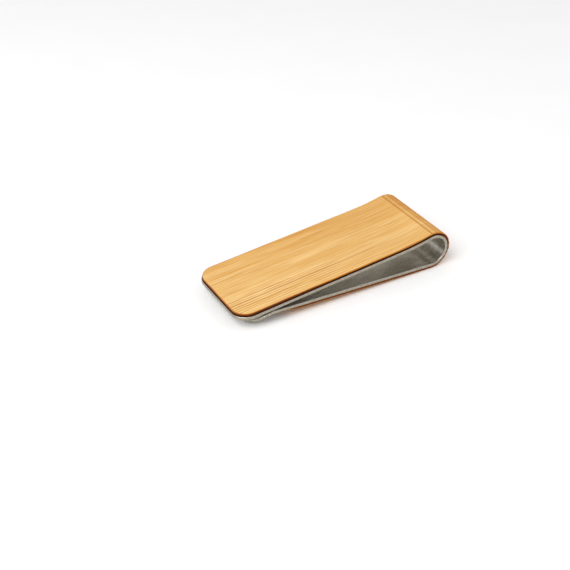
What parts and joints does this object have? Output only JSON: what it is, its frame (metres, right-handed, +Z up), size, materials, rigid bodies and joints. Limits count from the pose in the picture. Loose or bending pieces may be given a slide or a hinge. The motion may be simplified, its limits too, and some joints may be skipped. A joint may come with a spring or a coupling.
{
  "type": "money clip",
  "caption": "Folding spring clip for banknotes: a teardrop strip of satin steel with a scored bamboo veneer wrapped round its outside.",
  "frame": {"origin": "under the middle of the clip's outline, on the surface that it stands on", "axes": "+X from the free ends towards the bend, +Y across the strip, +Z up, with the front leaf and its veneer uppermost"},
  "size_m": [0.0554, 0.0208, 0.0096],
  "materials": {
    "spring_steel": "satin",
    "adhesive_film": "matte",
    "bamboo_veneer": "fine sanded, laser cut edges"
  },
  "bodies": {
    "back_leaf": {"spring_back_leaf": "spring_steel", "adhesive_film_back": "adhesive_film", "wood_veneer_back": "bamboo_veneer"},
    "front_leaf": {"spring_front_leaf": "spring_steel", "adhesive_film_front": "adhesive_film", "wood_veneer_front": "bamboo_veneer"}
  },
  "joints": [
    {"name": "bend_flex", "type": "hinge", "parent": "back_leaf", "child": "front_leaf", "pos_m": [0.02667, 0, 0.00516], "axis": [0, 1, 0], "range_deg": [0, 9], "stiffness_Nm_per_rad": 2.9}
  ]
}
